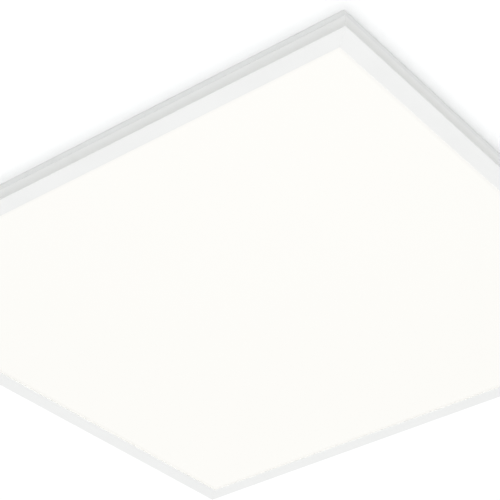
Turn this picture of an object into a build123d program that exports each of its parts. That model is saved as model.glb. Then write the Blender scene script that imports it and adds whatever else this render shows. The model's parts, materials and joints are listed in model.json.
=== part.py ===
from build123d import *
import os

# Square ceiling LED panel: an edge-lit light module that swings down from a shallow ceiling tray.
# The luminous face lies on Z = 0 and looks down; the ceiling is at the top.
# The origin is the middle of the face.
# "Front" is the side at -Y, where the two spring catches are; the hinges are at the back, +Y.

# ---- driving dimensions, mm ----
PANEL = 595.0
TOTAL_HEIGHT = 17.5
FRAME_HEIGHT = 11.0
BEZEL = 18.4
LIP = 1.2
WALL = 1.5
WEB = 1.2
CHAMBER_DEPTH = 10.2
CHAMBER_TOP = 7.0
FACE_EDGE_RADIUS = 0.9
WALL_TOP_RADIUS = 0.3
LIP_CHAMFER = 0.4
MITRE_GAP = 0.02

DIFFUSER_SHEET = 1.5
GUIDE_SHEET = 3.0
REFLECTOR_SHEET = 0.3
FOAM_SHEET = CHAMBER_TOP - LIP - DIFFUSER_SHEET - GUIDE_SHEET - REFLECTOR_SHEET
FOAM_MARGIN = 2.0
BACK_SHEET = 0.6
LED_BOARD = 1.0
LED_TAPE = 0.2
LED_HEIGHT = 0.8
LED_COUNT = 56
LED_PITCH = 9.6
STACK_GAP = 1.0

TRAY_SHEET = 0.8
TRAY_INSET = 0.5
TRAY_GAP = 0.4
FIXING_SPACING = 420.0
FIXING_RADIUS = 2.6
CABLE_RADIUS = 5.0

CATCH_OFFSET = 200.0

# ---- dimensions worked out from them ----
HALF = PANEL / 2
WEB_FACE = HALF - CHAMBER_DEPTH
STACK_X = WEB_FACE - LED_TAPE - LED_BOARD - LED_HEIGHT - STACK_GAP / 2
STACK_Y = WEB_FACE - STACK_GAP
GUIDE_BOTTOM = LIP + DIFFUSER_SHEET
GUIDE_MIDDLE = GUIDE_BOTTOM + GUIDE_SHEET / 2
FOAM_BOTTOM = GUIDE_BOTTOM + GUIDE_SHEET + REFLECTOR_SHEET
BACK_TOP = CHAMBER_TOP + BACK_SHEET
TRAY_HALF = HALF - TRAY_INSET
TRAY_UNDER = TOTAL_HEIGHT - TRAY_SHEET
RIM_BOTTOM = FRAME_HEIGHT + TRAY_GAP

# ---- screws ----
SCREW_RADIUS = 1.5
SCREW_HOLE = 1.55
SCREW_CLEARANCE = 1.7
SCREW_HEAD = 2.8
SCREW_HEAD_HEIGHT = 1.3
SCREW_LENGTH = 5.0
SCREW_INSET = 6.0
SCREW_TAPER = 14
SCREW_CROSS = (2.8, 0.6)
SCREW_CROSS_DEPTH = 0.8
CORNER_SCREW = HALF - 20.0
SIDE_SCREW = 95.0
STRIKE_SCREW = 12.5
LEAF_SCREW = 25.0
RIVET_RADIUS = 1.6
RIVET_HOLE = 1.65
RIVET_HEAD = 2.8
RIVET_HEAD_HEIGHT = 0.9
RIVET_TAPER = 30

# ---- hinge: its pin lies just inside the frame's back wall ----
HINGE_X = (-200.0, 200.0)
PIN_Y = HALF - 3.7
PIN_Z = 9.2
PIN_RADIUS = 1.0
PIN_BORE = 1.05
KNUCKLE_RADIUS = 1.9
LEAF = 1.2
TRAY_LEAF_WIDTH = 40.0
FRAME_LEAF_WIDTH = 60.0
MIDDLE_KNUCKLE = 19.5
KNUCKLE_GAP = 0.5
FRAME_LEAF_DEPTH = 8.4
FRAME_LEAF_INSET = 2.4
KNUCKLE_RELIEF = 2.4
ROLL_RADIUS = 4.6
LEAF_FLANGE = 15.0
LEAF_RISER = PIN_Y - 5.8
LEAF_RIVET = (13.0, 14.5)

# ---- electrical layout on the tray ----
DRIVER_Y = 70.0
DRIVER_MIDDLE = (0.0, DRIVER_Y)
DRIVER_LENGTH = 170.0
DRIVER_WIDTH = 46.0
DRIVER_UNDER = 8.2
BOARD_TOP = 15.6
BOARD_SHEET = 1.0
BOARD_UNDER = BOARD_TOP - BOARD_SHEET
TERMINAL_Y = -75.0
TERMINAL_UNDER = 9.2
POLES = {"live": -10.0, "neutral": 0.0, "earth": 10.0}
ENTRY_Y = -140.0
STUD_X = 40.0
WIRE_RADIUS = 1.1
LEAD_RADIUS = 1.1
LEAD_LEVEL = 14.0
LEAD_ROW_Y = 225.0
LEAD_BEND = 6.0
LEAD_TURN_X = 230.0
LEAD_DROP_X = 268.0
LEAD_JOIN_GAP = 1.0
LEAD_JOIN_DROP = 0.14
PANEL_LEAD_LEVEL = BACK_TOP + LEAD_RADIUS + 0.1
LEAD_JOIN_X = (LEAD_TURN_X + LEAD_DROP_X) / 2
JOIN_LEVEL = (LEAD_LEVEL + PANEL_LEAD_LEVEL) / 2
GROMMET_AT = (WEB_FACE - 1.25, 280.0)
LINK_RADIUS = 0.3

os.makedirs("parts", exist_ok=True)


def save(piece, name):
    piece.part.label = name
    export_step(piece.part, f"parts/{name}.step")


# ---- fasteners, shared by the groups below ----
def screw_points(turn):
    """Where the panel screws stand along the side that is `turn` degrees round from the front."""
    offsets = [-CORNER_SCREW, -SIDE_SCREW, SIDE_SCREW, CORNER_SCREW]
    if turn == 0:
        offsets += strike_offsets()
    if turn == 180:
        offsets += hinge_offsets()
    points = [Vector(offset, -HALF + SCREW_INSET).rotate(Axis.Z, turn) for offset in offsets]
    return [(point.X, point.Y) for point in points]


def strike_offsets():
    return [side * CATCH_OFFSET + step for side in (-1, 1) for step in (-STRIKE_SCREW, STRIKE_SCREW)]


def hinge_offsets():
    return [x + step for x in HINGE_X for step in (-LEAF_SCREW, LEAF_SCREW)]


def cross_screws(groups):
    """Pan-head screws, heads up. Each group is (points, height of the head's seat)."""
    with BuildPart() as screws:
        for points, seat in groups:
            with BuildSketch(Plane.XY.offset(seat)):
                with Locations(*points):
                    Circle(SCREW_RADIUS)
            extrude(amount=-SCREW_LENGTH)
            with BuildSketch(Plane.XY.offset(seat)):
                with Locations(*points):
                    Circle(SCREW_HEAD)
            extrude(amount=SCREW_HEAD_HEIGHT, taper=SCREW_TAPER)
            with BuildSketch(Plane.XY.offset(seat + SCREW_HEAD_HEIGHT)):
                with Locations(*points):
                    Rectangle(*SCREW_CROSS)
                    Rectangle(*reversed(SCREW_CROSS))
            extrude(amount=-SCREW_CROSS_DEPTH, mode=Mode.SUBTRACT)
    return screws


def holes(points, radius, bottom, height):
    """Cuts plain upright holes in the part being built."""
    with BuildSketch(Plane.XY.offset(bottom)) as outline:
        with Locations(*points):
            Circle(radius)
    extrude(outline.sketch, amount=height, mode=Mode.SUBTRACT)


def wire(points, radius, bend):
    """A round wire through the points, with its corners bent to a radius."""
    with BuildPart() as strand:
        with BuildLine() as path:
            FilletPolyline(*points, radius=bend)
        with BuildSketch(Plane(origin=path.line @ 0, z_dir=path.line % 0)):
            Circle(radius)
        sweep()
    return strand


# ---- frame: four mitred lengths of one aluminium section ----
def frame_side(turn):
    """A wide thin lip under a closed chamber, with a tall outer wall, `turn` degrees round from the front."""
    inward = Vector(0, 1, 0).rotate(Axis.Z, turn)
    along = Vector(1, 0, 0).rotate(Axis.Z, turn)
    with BuildPart() as side:
        with BuildSketch(Plane(origin=inward * -HALF, x_dir=inward, z_dir=along)) as section:
            with BuildLine():
                Polyline(
                    (0, 0),
                    (BEZEL, 0),
                    (BEZEL, LIP),
                    (CHAMBER_DEPTH, LIP),
                    (CHAMBER_DEPTH, CHAMBER_TOP),
                    (WALL, CHAMBER_TOP),
                    (WALL, FRAME_HEIGHT),
                    (0, FRAME_HEIGHT),
                    close=True,
                )
            make_face()
            fillet(section.vertices().sort_by_distance((0, 0))[0], FACE_EDGE_RADIUS)
            fillet(section.vertices().sort_by_distance((0, FRAME_HEIGHT))[0], WALL_TOP_RADIUS)
            chamfer(section.vertices().sort_by_distance((BEZEL, 0))[0], LIP_CHAMFER)
            chamber_width = CHAMBER_DEPTH - WALL - WEB
            chamber_height = CHAMBER_TOP - LIP - WEB
            with Locations((WALL + chamber_width / 2, LIP + chamber_height / 2)):
                Rectangle(chamber_width, chamber_height, mode=Mode.SUBTRACT)
        extrude(amount=HALF, both=True)
        for end in (-1, 1):
            mitre = (along * end + inward).normalized()
            split(bisect_by=Plane(origin=mitre * -MITRE_GAP, z_dir=mitre), keep=Keep.BOTTOM)
        holes(screw_points(turn), SCREW_HOLE, CHAMBER_TOP - 2 * WEB, 3 * WEB)
    return side


for side_name, side_turn in {"front": 0, "right": 90, "back": 180, "left": 270}.items():
    save(frame_side(side_turn), f"frame_{side_name}")

# L-shaped keys that fill the chambers across each mitre
KEY_LEG = 32.0
KEY_PLAY = 0.2
KEY_OUT = HALF - WALL - KEY_PLAY
KEY_WIDTH = CHAMBER_DEPTH - WALL - WEB - 2 * KEY_PLAY
with BuildPart() as corner_keys:
    with BuildSketch(Plane.XY.offset(LIP + KEY_PLAY)):
        with BuildLine():
            Polyline(
                (KEY_OUT, KEY_OUT),
                (KEY_OUT, KEY_OUT - KEY_LEG),
                (KEY_OUT - KEY_WIDTH, KEY_OUT - KEY_LEG),
                (KEY_OUT - KEY_WIDTH, KEY_OUT - KEY_WIDTH),
                (KEY_OUT - KEY_LEG, KEY_OUT - KEY_WIDTH),
                (KEY_OUT - KEY_LEG, KEY_OUT),
                close=True,
            )
        make_face()
    extrude(amount=CHAMBER_TOP - LIP - WEB - 2 * KEY_PLAY)
    mirror(about=Plane.YZ)
    mirror(about=Plane.XZ)
    for key_turn in (0, 90, 180, 270):
        holes(screw_points(key_turn), SCREW_HOLE, LIP, CHAMBER_TOP)
save(corner_keys, "corner_keys")


# ---- optical stack, from the face upwards ----
def sheet(bottom, thickness, half_x, half_y):
    with BuildPart() as flat:
        with BuildSketch(Plane.XY.offset(bottom)):
            Rectangle(2 * half_x, 2 * half_y)
        extrude(amount=thickness)
    return flat


save(sheet(LIP, DIFFUSER_SHEET, STACK_X, STACK_Y), "diffuser")
save(sheet(GUIDE_BOTTOM, GUIDE_SHEET, STACK_X, STACK_Y), "light_guide")
save(sheet(GUIDE_BOTTOM + GUIDE_SHEET, REFLECTOR_SHEET, STACK_X, STACK_Y), "reflector_sheet")
save(sheet(FOAM_BOTTOM, FOAM_SHEET, STACK_X - FOAM_MARGIN, STACK_Y - FOAM_MARGIN), "buffer_foam")

# ---- LED boards on the left and right webs ----
BOARD_LENGTH = LED_COUNT * LED_PITCH + 8
BOARD_WIDTH = 4.8
TAPE_WIDTH = BOARD_WIDTH - 0.6
LED_BODY = (3.5, 2.8)
LED_WINDOW = (2.7, 2.0)
LED_WINDOW_DEPTH = 0.2


def web_plane(side, distance):
    """An upright plane beside the left (-1) or right (1) web, facing the light guide's edge."""
    return Plane(origin=(side * distance, 0, GUIDE_MIDDLE), x_dir=(0, side, 0), z_dir=(-side, 0, 0))


def on_web(side, distance, thickness, length, width):
    """A strip standing on edge along a web, its outer face at `distance` from the middle."""
    with BuildPart() as strip:
        with BuildSketch(web_plane(side, distance)):
            Rectangle(length, width)
        extrude(amount=thickness)
    return strip


def led_chips(side):
    """A row of surface-mount LEDs, each a body with a shallow window for its phosphor."""
    board_face = web_plane(side, WEB_FACE - LED_TAPE - LED_BOARD)
    with BuildPart() as chips:
        with BuildSketch(board_face):
            with GridLocations(LED_PITCH, 0, LED_COUNT, 1):
                Rectangle(*LED_BODY)
        extrude(amount=LED_HEIGHT)
        with BuildSketch(board_face.offset(LED_HEIGHT)):
            with GridLocations(LED_PITCH, 0, LED_COUNT, 1):
                Rectangle(*LED_WINDOW)
        extrude(amount=-LED_WINDOW_DEPTH, mode=Mode.SUBTRACT)
    return chips


for side_name, side_sign in {"left": -1, "right": 1}.items():
    led_board = on_web(side_sign, WEB_FACE - LED_TAPE, LED_BOARD, BOARD_LENGTH, BOARD_WIDTH)
    save(led_board, f"led_board_{side_name}")
    save(led_chips(side_sign), f"led_chips_{side_name}")

with BuildPart() as led_tapes:
    add(on_web(-1, WEB_FACE, LED_TAPE, BOARD_LENGTH, TAPE_WIDTH).part)
    add(on_web(1, WEB_FACE, LED_TAPE, BOARD_LENGTH, TAPE_WIDTH).part)
save(led_tapes, "led_tapes")

# ---- link wires: a pair along the back gap, and a pair down to the right board from the lead ----
BOARD_END = BOARD_LENGTH / 2 + 0.05
LINK_X = WEB_FACE - 0.4
LINK_Y = WEB_FACE - 0.5
LINK_STEP = 0.7
LINK_BEND = 1.0
FEED_X = WEB_FACE - 1.1
FEED_BEND = 0.8
LEAD_END_X = GROMMET_AT[0] - 4


def back_link(level):
    path = [
        (-LINK_X, BOARD_END, level),
        (-LINK_X, LINK_Y, level),
        (LINK_X, LINK_Y, level),
        (LINK_X, BOARD_END, level),
    ]
    return wire(path, LINK_RADIUS, LINK_BEND)


def feed_link(level, y):
    path = [
        (LEAD_END_X, y, PANEL_LEAD_LEVEL),
        (FEED_X, y, PANEL_LEAD_LEVEL),
        (FEED_X, y, level),
        (FEED_X, BOARD_END, level),
    ]
    return wire(path, LINK_RADIUS, FEED_BEND)


with BuildPart() as led_link_wires:
    for step in (-LINK_STEP, LINK_STEP):
        add(back_link(GUIDE_MIDDLE + step).part)
        add(feed_link(GUIDE_MIDDLE + step, GROMMET_AT[1] - step / 2).part)
save(led_link_wires, "led_link_wires")

# ---- back plate: thin aluminium sheet with pressed stiffening beads ----
BACK_HALF = HALF - WALL - 0.9
BEAD_TAPER = 40
BEAD_WALL = 1.0
BEAD_HEIGHT = 0.6
BEAD_WIDTH = 14.0
BEAD_LENGTH = 400.0
BEAD_SPACING = 170.0
OUTER_BEADS = 2.8 * BEAD_SPACING
HINGE_CUTOUT = (TRAY_LEAF_WIDTH + 2, 12.6)
LEAD_HOLE = 1.2
LEAD_GROMMET_NECK = LEAD_HOLE - 0.05
LEAD_GROMMET_BORE = LEAD_HOLE - 0.35
LEAD_GROMMET_RADIUS = 2.0
LEAD_GROMMET_LIP = 0.4
with BuildPart() as back_plate:
    with BuildSketch(Plane.XY.offset(CHAMBER_TOP)):
        Rectangle(2 * BACK_HALF, 2 * BACK_HALF)
    extrude(amount=BACK_SHEET)
    with BuildSketch(Plane.XY.offset(BACK_TOP)):
        with GridLocations(BEAD_SPACING, 0, 2, 1):
            SlotOverall(BEAD_LENGTH, BEAD_WIDTH, rotation=90)
        with GridLocations(OUTER_BEADS, 0, 2, 1):
            SlotOverall(BEAD_LENGTH, BEAD_WIDTH, rotation=90)
    extrude(amount=BEAD_HEIGHT, taper=BEAD_TAPER)
    with BuildSketch(Plane.XY.offset(CHAMBER_TOP)):
        with GridLocations(BEAD_SPACING, 0, 2, 1):
            SlotOverall(BEAD_LENGTH - 2 * BEAD_WALL, BEAD_WIDTH - 2 * BEAD_WALL, rotation=90)
        with GridLocations(OUTER_BEADS, 0, 2, 1):
            SlotOverall(BEAD_LENGTH - 2 * BEAD_WALL, BEAD_WIDTH - 2 * BEAD_WALL, rotation=90)
    extrude(amount=BEAD_HEIGHT, taper=BEAD_TAPER, mode=Mode.SUBTRACT)
    with BuildSketch(Plane.XY.offset(CHAMBER_TOP)):
        with Locations(*[(x, HALF) for x in HINGE_X]):
            Rectangle(*HINGE_CUTOUT)
    extrude(amount=BACK_SHEET, mode=Mode.SUBTRACT)
    for plate_turn in (0, 90, 180, 270):
        holes(screw_points(plate_turn), SCREW_CLEARANCE, CHAMBER_TOP, BACK_SHEET)
    holes([GROMMET_AT], LEAD_HOLE, CHAMBER_TOP, BACK_SHEET)
save(back_plate, "back_plate")

with BuildPart() as lead_grommet:
    with BuildSketch(Plane.XY.offset(CHAMBER_TOP)):
        with Locations(GROMMET_AT):
            Circle(LEAD_GROMMET_NECK)
    extrude(amount=BACK_SHEET)
    with BuildSketch(Plane.XY.offset(BACK_TOP)):
        with Locations(GROMMET_AT):
            Circle(LEAD_GROMMET_RADIUS)
    extrude(amount=LEAD_GROMMET_LIP)
    holes([GROMMET_AT], LEAD_GROMMET_BORE, CHAMBER_TOP, BACK_SHEET + LEAD_GROMMET_LIP)
save(lead_grommet, "lead_grommet")

# ---- catch strikes on the frame, one node for the pair ----
STRIKE = 1.0
STRIKE_FOOT = (34.0, 7.2)
STRIKE_TONGUE = (15.0, 7.6)
STRIKE_INNER = HALF - 3.6
CATCH_LEVEL = 12.6
NOSE_RADIUS = 1.4
STRIKE_HOLE = 1.25
with BuildPart() as catch_strikes:
    with BuildSketch(Plane.XY.offset(BACK_TOP)):
        with GridLocations(2 * CATCH_OFFSET, 0, 2, 1):
            with Locations((0, -STRIKE_INNER - STRIKE + STRIKE_FOOT[1] / 2)):
                RectangleRounded(*STRIKE_FOOT, 1)
    extrude(amount=STRIKE)
    with BuildSketch(Plane.XZ.offset(STRIKE_INNER)):
        with GridLocations(2 * CATCH_OFFSET, 0, 2, 1):
            with Locations((0, BACK_TOP + STRIKE_TONGUE[1] / 2)):
                RectangleRounded(*STRIKE_TONGUE, 1)
            with Locations((0, CATCH_LEVEL)):
                Circle(STRIKE_HOLE, mode=Mode.SUBTRACT)
    extrude(amount=STRIKE)
    strike_screws = [(x, -HALF + SCREW_INSET) for x in strike_offsets()]
    holes(strike_screws, SCREW_CLEARANCE, BACK_TOP, STRIKE)
save(catch_strikes, "catch_strikes")


# ---- hinges ----
def knuckles(x, bands):
    """Rings round the pin, with a bore; each band is (start, end) along X from the hinge's middle."""
    with BuildPart() as rings:
        for start, end in bands:
            with BuildSketch(Plane.YZ.offset(x + start)):
                with Locations((PIN_Y, PIN_Z)):
                    Circle(KNUCKLE_RADIUS)
            extrude(amount=end - start)
    return rings.part


def pin_bore(x):
    """Cuts the pin's hole right through the leaf being built."""
    with BuildSketch(Plane.YZ.offset(x - FRAME_LEAF_WIDTH)) as outline:
        with Locations((PIN_Y, PIN_Z)):
            Circle(PIN_BORE)
    extrude(outline.sketch, amount=2 * FRAME_LEAF_WIDTH, mode=Mode.SUBTRACT)


def tray_leaf(x):
    """Outer knuckles, an arm inboard over the frame, a riser and a flange riveted under the tray."""
    outer = TRAY_LEAF_WIDTH / 2
    inner = MIDDLE_KNUCKLE / 2 + KNUCKLE_GAP
    with BuildPart() as leaf:
        add(knuckles(x, [(-outer, -inner), (inner, outer)]))
        with BuildSketch(Plane.YZ.offset(x - outer)):
            with BuildLine():
                Polyline(
                    (PIN_Y, PIN_Z),
                    (PIN_Y, PIN_Z + LEAF),
                    (LEAF_RISER, PIN_Z + LEAF),
                    (LEAF_RISER, TRAY_UNDER),
                    (LEAF_RISER - LEAF_FLANGE, TRAY_UNDER),
                    (LEAF_RISER - LEAF_FLANGE, TRAY_UNDER - LEAF),
                    (LEAF_RISER - LEAF, TRAY_UNDER - LEAF),
                    (LEAF_RISER - LEAF, PIN_Z),
                    close=True,
                )
            make_face()
        extrude(amount=TRAY_LEAF_WIDTH)
        with BuildSketch(Plane.XY.offset(PIN_Z - 1)):
            with Locations((x, PIN_Y)):
                Rectangle(2 * inner, 2 * KNUCKLE_RELIEF)
        extrude(amount=4, mode=Mode.SUBTRACT)
        pin_bore(x)
        holes(rivet_points(x), RIVET_HOLE, TRAY_UNDER - 2 * LEAF, 3 * LEAF)
    return leaf


def rivet_points(x):
    step, inboard = LEAF_RIVET
    return [(x - step, PIN_Y - inboard), (x + step, PIN_Y - inboard)]


def frame_leaf(x):
    """Middle knuckle on a flat plate that is screwed down through the back plate."""
    outer = TRAY_LEAF_WIDTH / 2 + 1
    middle = MIDDLE_KNUCKLE / 2
    with BuildPart() as leaf:
        with BuildSketch(Plane.XY.offset(BACK_TOP)):
            with Locations((x, PIN_Y - FRAME_LEAF_INSET)):
                RectangleRounded(FRAME_LEAF_WIDTH, FRAME_LEAF_DEPTH, 1)
            for side in (-1, 1):
                with Locations((x + side * (middle + outer) / 2, PIN_Y + 1)):
                    Rectangle(outer - middle, 2 + 2 * KNUCKLE_RELIEF, mode=Mode.SUBTRACT)
            with Locations((x, PIN_Y + KNUCKLE_RADIUS)):
                Rectangle(MIDDLE_KNUCKLE + 1, 2 * KNUCKLE_RADIUS, mode=Mode.SUBTRACT)
        extrude(amount=LEAF)
        add(knuckles(x, [(-middle, middle)]))
        pin_bore(x)
        leaf_holes = [(x + step, HALF - SCREW_INSET) for step in (-LEAF_SCREW, LEAF_SCREW)]
        holes(leaf_holes, SCREW_CLEARANCE, BACK_TOP, LEAF)
    return leaf


for side_name, hinge_x in zip(("left", "right"), HINGE_X):
    save(tray_leaf(hinge_x), f"hinge_tray_leaf_{side_name}")
    save(frame_leaf(hinge_x), f"hinge_frame_leaf_{side_name}")

# plain pins, headed at both ends, one to each hinge
PIN_LENGTH = TRAY_LEAF_WIDTH + 0.6
PIN_HEAD = 0.7
PIN_BANDS = [
    (-PIN_LENGTH / 2 - PIN_HEAD, PIN_HEAD, PIN_RADIUS + 0.5),
    (-PIN_LENGTH / 2, PIN_LENGTH, PIN_RADIUS),
    (PIN_LENGTH / 2, PIN_HEAD, PIN_RADIUS + 0.5),
]
with BuildPart() as hinge_pins:
    for hinge_x in HINGE_X:
        for start, length, radius in PIN_BANDS:
            with BuildSketch(Plane.YZ.offset(hinge_x + start)):
                with Locations((PIN_Y, PIN_Z)):
                    Circle(radius)
            extrude(amount=length)
save(hinge_pins, "hinge_pins")

# ---- panel screws: back plate, hinge leaves and strikes ----
plain_screws = [point for turn in (90, 270) for point in screw_points(turn)]
plain_screws += screw_points(0)[:4]
plain_screws += screw_points(180)[:4]
leaf_screws = screw_points(180)[4:]
screw_seats = [(plain_screws, BACK_TOP), (leaf_screws, BACK_TOP + LEAF), (strike_screws, BACK_TOP + STRIKE)]
save(cross_screws(screw_seats), "panel_screws")

# ---- spring catches under the tray's front edge ----
HOUSING_FRONT = HALF - 4.6
HOUSING_LENGTH = 13.4
HOUSING_UNDER = 9.9
HOUSING_WIDTH = 12.0
HOUSING_FLANGE = 30.0
HOUSING_FACE_WALL = 0.8
HOUSING_END_WALL = 1.4
HOUSING_RIVET = (11.0, 7.0)
CATCH_BORE = 1.85
PLUNGER_PLAY = 0.05
COLLAR_FRONT = HALF - 5.5
COLLAR_LENGTH = 2.5
NOSE_CENTRE = STRIKE_INNER - 0.75
SPRING_WIRE = 0.25
SPRING_RADIUS = 1.3
SPRING_PITCH = 0.9


def catch_rivets(x):
    step, inboard = HOUSING_RIVET
    return [(x - step, -HOUSING_FRONT + inboard), (x + step, -HOUSING_FRONT + inboard)]


def catch_housing(x):
    with BuildPart() as housing:
        with BuildSketch(Plane.XY.offset(HOUSING_UNDER)):
            with Locations((x, -HOUSING_FRONT + HOUSING_LENGTH / 2)):
                RectangleRounded(HOUSING_WIDTH, HOUSING_LENGTH, 1)
        extrude(amount=TRAY_UNDER - HOUSING_UNDER)
        with BuildSketch(Plane.XY.offset(TRAY_UNDER - STRIKE)):
            with Locations((x, -HOUSING_FRONT + HOUSING_LENGTH / 2)):
                RectangleRounded(HOUSING_FLANGE, HOUSING_LENGTH, 2)
        extrude(amount=STRIKE)
        with BuildSketch(Plane.XZ.offset(HOUSING_FRONT)):
            with Locations((x, CATCH_LEVEL)):
                Circle(NOSE_RADIUS + PLUNGER_PLAY)
        extrude(amount=-2 * HOUSING_FACE_WALL, mode=Mode.SUBTRACT)
        with BuildSketch(Plane.XZ.offset(HOUSING_FRONT - HOUSING_FACE_WALL)):
            with Locations((x, CATCH_LEVEL)):
                Circle(CATCH_BORE)
        extrude(amount=HOUSING_FACE_WALL + HOUSING_END_WALL - HOUSING_LENGTH, mode=Mode.SUBTRACT)
        holes(catch_rivets(x), RIVET_HOLE, TRAY_UNDER - 2 * STRIKE, 3 * STRIKE)
    return housing


def catch_plunger(x):
    """Round-nosed plunger with a collar that keeps it in the housing."""
    with BuildPart() as plunger:
        with BuildSketch(Plane(origin=(x, 0, CATCH_LEVEL), x_dir=(1, 0, 0), z_dir=(0, 0, 1))):
            with BuildLine():
                RadiusArc((0, -NOSE_CENTRE - NOSE_RADIUS), (NOSE_RADIUS, -NOSE_CENTRE), -NOSE_RADIUS)
                Polyline(
                    (NOSE_RADIUS, -NOSE_CENTRE),
                    (NOSE_RADIUS, -COLLAR_FRONT),
                    (CATCH_BORE - PLUNGER_PLAY, -COLLAR_FRONT),
                    (CATCH_BORE - PLUNGER_PLAY, -COLLAR_FRONT + COLLAR_LENGTH),
                    (0, -COLLAR_FRONT + COLLAR_LENGTH),
                    (0, -NOSE_CENTRE - NOSE_RADIUS),
                )
            make_face()
        revolve(axis=Axis((x, 0, CATCH_LEVEL), (0, 1, 0)))
    return plunger


def catch_spring(x):
    """Coil spring between the plunger and the closed end of the bore."""
    start = -COLLAR_FRONT + COLLAR_LENGTH + SPRING_WIRE + PLUNGER_PLAY
    end = -HOUSING_FRONT + HOUSING_LENGTH - HOUSING_END_WALL - SPRING_WIRE - PLUNGER_PLAY
    with BuildPart() as spring:
        with BuildLine() as coil:
            Helix(
                SPRING_PITCH,
                end - start,
                SPRING_RADIUS,
                center=(x, start, CATCH_LEVEL),
                direction=(0, 1, 0),
            )
        with BuildSketch(Plane(origin=coil.line @ 0, z_dir=coil.line % 0)):
            Circle(SPRING_WIRE)
        sweep(is_frenet=True)
    return spring


for side_name, catch_x in {"left": -CATCH_OFFSET, "right": CATCH_OFFSET}.items():
    save(catch_housing(catch_x), f"catch_housing_{side_name}")
    save(catch_plunger(catch_x), f"catch_plunger_{side_name}")

with BuildPart() as catch_springs:
    add(catch_spring(-CATCH_OFFSET).part)
    add(catch_spring(CATCH_OFFSET).part)
save(catch_springs, "catch_springs")

# ---- ceiling tray: pressed steel pan ----
TERMINAL_RIVETS = [(-20.0, TERMINAL_Y), (20.0, TERMINAL_Y)]
DRIVER_RIVET_Y = DRIVER_LENGTH / 2 + 7
DRIVER_RIVETS = [(0.0, DRIVER_Y - DRIVER_RIVET_Y), (-14.0, DRIVER_Y + DRIVER_RIVET_Y)]
HINGE_RIVETS = [point for x in HINGE_X for point in rivet_points(x)]
CATCH_RIVETS = [point for side in (-1, 1) for point in catch_rivets(side * CATCH_OFFSET)]
TERMINAL_FOOT = 2.6
DRIVER_BASE = 0.8
RIVET_SEATS = [
    (HINGE_RIVETS, TRAY_UNDER - LEAF),
    (CATCH_RIVETS, TRAY_UNDER - STRIKE),
    (TERMINAL_RIVETS, TRAY_UNDER - TERMINAL_FOOT),
    (DRIVER_RIVETS, TRAY_UNDER - DRIVER_BASE),
]
RIB_SPACING = 280.0
RIB_LENGTH = 470.0
RIB_WIDTH = 12.0
RIB_DEPTH = 1.0
PRESSED_WALL = 1.0
TRAY_CORNER = 1.2
TRAY_EDGE = 0.9
DISH_RADIUS = 16.0
DISH_DEPTH = 1.5
GROMMET_NECK = 7.9
GROMMET_LIP = GROMMET_NECK + 2.6
GROMMET_LIP_SHEET = 1.2
with BuildPart() as ceiling_tray:
    with BuildSketch(Plane.XY.offset(RIM_BOTTOM)):
        RectangleRounded(2 * TRAY_HALF, 2 * TRAY_HALF, TRAY_CORNER)
    extrude(amount=TOTAL_HEIGHT - RIM_BOTTOM)
    fillet(ceiling_tray.faces().sort_by(Axis.Z)[-1].edges(), TRAY_EDGE)
    with BuildSketch(Plane.XY.offset(RIM_BOTTOM)):
        Rectangle(2 * (TRAY_HALF - TRAY_SHEET), 2 * (TRAY_HALF - TRAY_SHEET))
    extrude(amount=TRAY_UNDER - RIM_BOTTOM, mode=Mode.SUBTRACT)
    with BuildSketch(Plane.XY.offset(TRAY_UNDER)):
        with GridLocations(RIB_SPACING, 0, 2, 1):
            SlotOverall(RIB_LENGTH, RIB_WIDTH, rotation=90)
    extrude(amount=-RIB_DEPTH)
    with BuildSketch(Plane.XY.offset(TOTAL_HEIGHT)):
        with GridLocations(RIB_SPACING, 0, 2, 1):
            SlotOverall(RIB_LENGTH - 2 * PRESSED_WALL, RIB_WIDTH - 2 * PRESSED_WALL, rotation=90)
    extrude(amount=-RIB_DEPTH, mode=Mode.SUBTRACT)
    with BuildSketch(Plane.XY.offset(TRAY_UNDER)):
        with Locations((0, ENTRY_Y)):
            Circle(DISH_RADIUS)
    extrude(amount=-DISH_DEPTH)
    with BuildSketch(Plane.XY.offset(TOTAL_HEIGHT)):
        with Locations((0, ENTRY_Y)):
            Circle(DISH_RADIUS - PRESSED_WALL)
    extrude(amount=-DISH_DEPTH, mode=Mode.SUBTRACT)
    holes([(0, ENTRY_Y)], GROMMET_NECK + 0.1, RIM_BOTTOM, TOTAL_HEIGHT)
    with BuildSketch(Plane.XY.offset(RIM_BOTTOM)):
        with GridLocations(FIXING_SPACING, FIXING_SPACING, 2, 2):
            Circle(FIXING_RADIUS)
    extrude(amount=TOTAL_HEIGHT, mode=Mode.SUBTRACT)
    for rivets, _ in RIVET_SEATS:
        holes(rivets, RIVET_HOLE, RIM_BOTTOM, TOTAL_HEIGHT)
    # the frame's top edge rolls through this space as the module opens
    with BuildSketch(Plane.XY.offset(RIM_BOTTOM)):
        with Locations((0, PIN_Y)):
            Rectangle(PANEL, 2 * ROLL_RADIUS)
    extrude(amount=PIN_Z + ROLL_RADIUS - RIM_BOTTOM, mode=Mode.SUBTRACT)
save(ceiling_tray, "ceiling_tray")

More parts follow.
